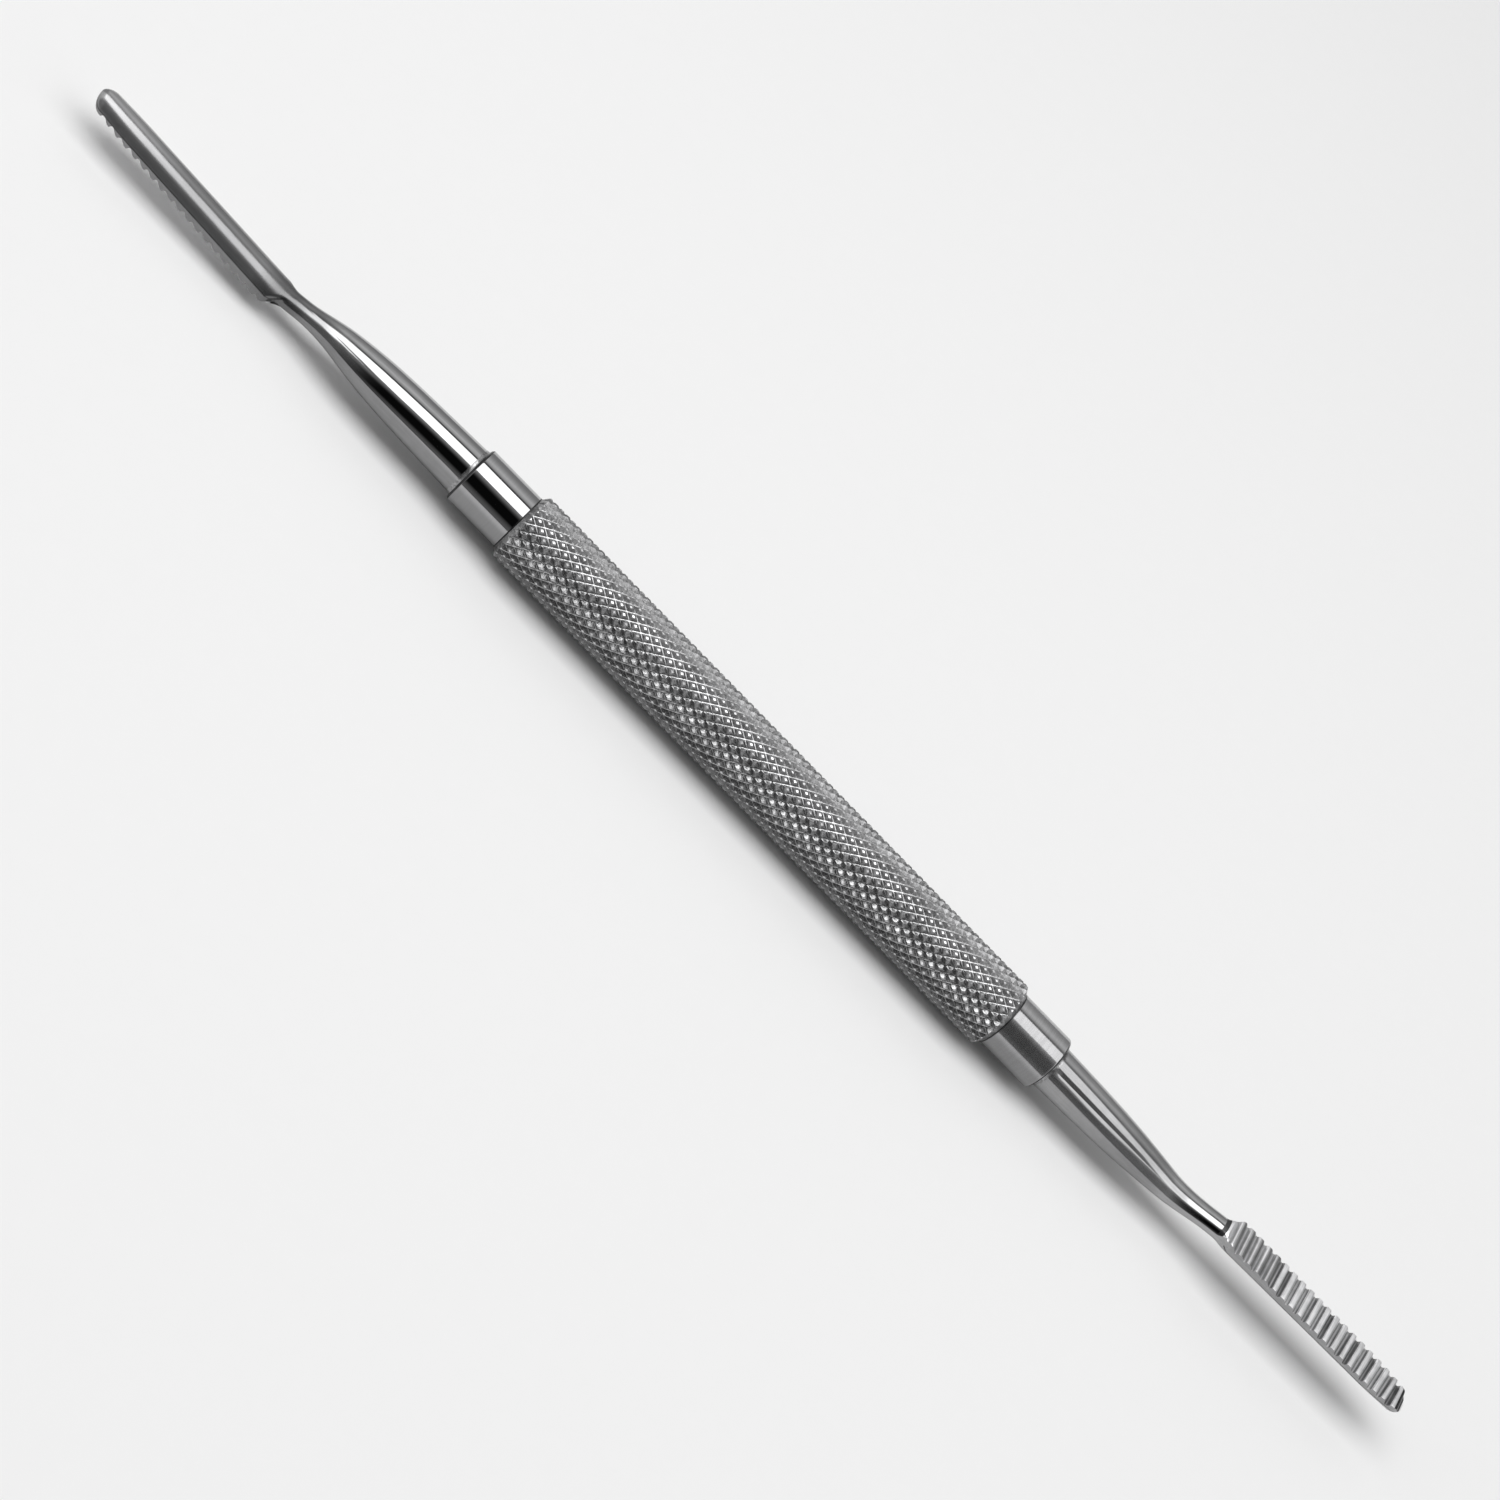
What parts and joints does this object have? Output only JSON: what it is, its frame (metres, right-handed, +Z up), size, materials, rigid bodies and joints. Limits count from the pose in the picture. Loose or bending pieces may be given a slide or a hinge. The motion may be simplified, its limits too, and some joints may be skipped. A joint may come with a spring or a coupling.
{
  "type": "bone file",
  "caption": "Double-ended bone file with a knurled round handle and a narrow toothed blade on a waisted shank at each end.",
  "frame": {"origin": "under the middle of the handle, at the height of the table it lies on", "axes": "+X along the handle towards the right-hand blade, +Y across, +Z up; the right-hand teeth face up and the left-hand teeth face down"},
  "size_m": [0.1776, 0.0078, 0.0077],
  "materials": {
    "knurled_steel": "satin stainless steel, diamond knurl with polished collars",
    "polished_steel": "mirror-polished stainless shank, satin ground blade",
    "satin_steel": "satin-polished stainless shank, filed blade"
  },
  "bodies": {
    "root": {"handle": "knurled_steel", "left_file_end": "polished_steel", "right_file_end": "satin_steel"}
  },
  "joints": []
}
